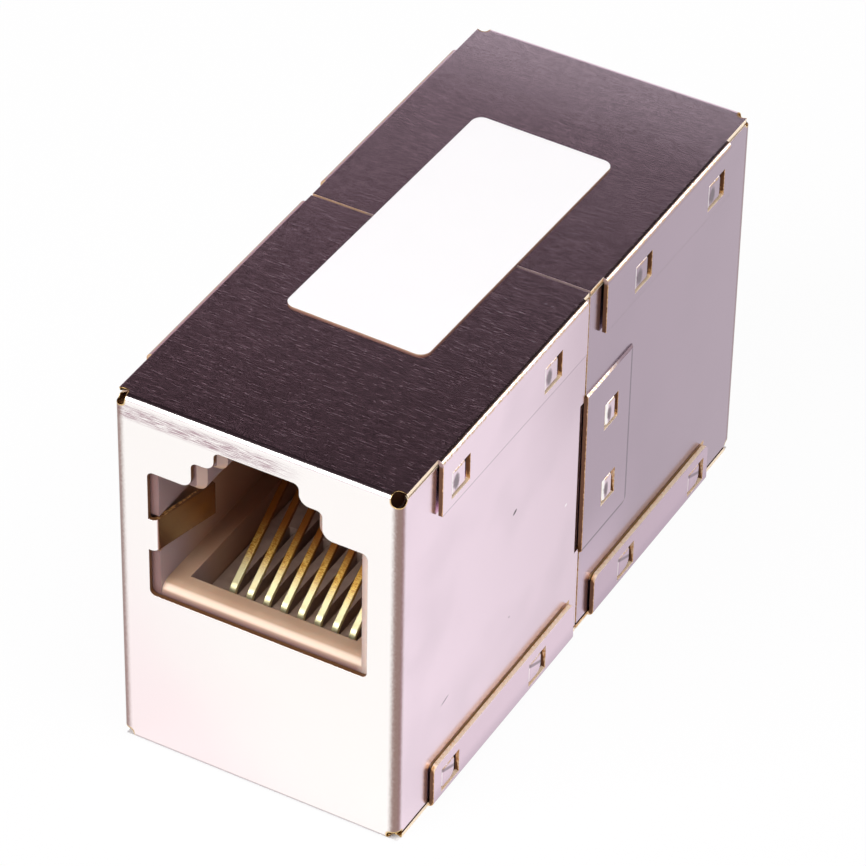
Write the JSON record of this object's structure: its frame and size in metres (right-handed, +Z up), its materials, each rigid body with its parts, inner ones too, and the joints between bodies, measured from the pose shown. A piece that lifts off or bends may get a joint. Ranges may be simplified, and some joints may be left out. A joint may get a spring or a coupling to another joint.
{
  "type": "network cable inline coupler",
  "caption": "Shielded inline coupler: two folded metal shells hold two modular jacks back to back, joining two network plugs end to end.",
  "frame": {"origin": "middle of the underside, halfway between the two faces", "axes": "+X across, +Y along the plugs' way from the front mouth to the rear mouth, +Z up"},
  "size_m": [0.0172, 0.0378, 0.023],
  "materials": {
    "nickel_sheet": "brushed nickel plate on brass, bare brass on cut edges",
    "ivory_plastic": "moulded, satin",
    "grey_plastic": "moulded, satin",
    "contact_metal": "gold plated spring wire",
    "board_laminate": "solder mask on glass laminate",
    "base_plastic": "moulded, satin",
    "label_film": "smooth white film"
  },
  "bodies": {
    "root": {"front_shell": "nickel_sheet", "rear_shell": "nickel_sheet", "front_jack_housing": "ivory_plastic", "rear_jack_housing": "ivory_plastic", "front_contact_carrier": "grey_plastic", "rear_contact_carrier": "grey_plastic", "circuit_board": "board_laminate", "insulating_base": "base_plastic", "label": "label_film", "front_contact_1": "contact_metal", "front_contact_2": "contact_metal", "front_contact_3": "contact_metal", "front_contact_4": "contact_metal", "front_contact_5": "contact_metal", "front_contact_6": "contact_metal", "front_contact_7": "contact_metal", "front_contact_8": "contact_metal", "rear_contact_1": "contact_metal", "rear_contact_2": "contact_metal", "rear_contact_3": "contact_metal", "rear_contact_4": "contact_metal", "rear_contact_5": "contact_metal", "rear_contact_6": "contact_metal", "rear_contact_7": "contact_metal", "rear_contact_8": "contact_metal"}
  },
  "joints": []
}
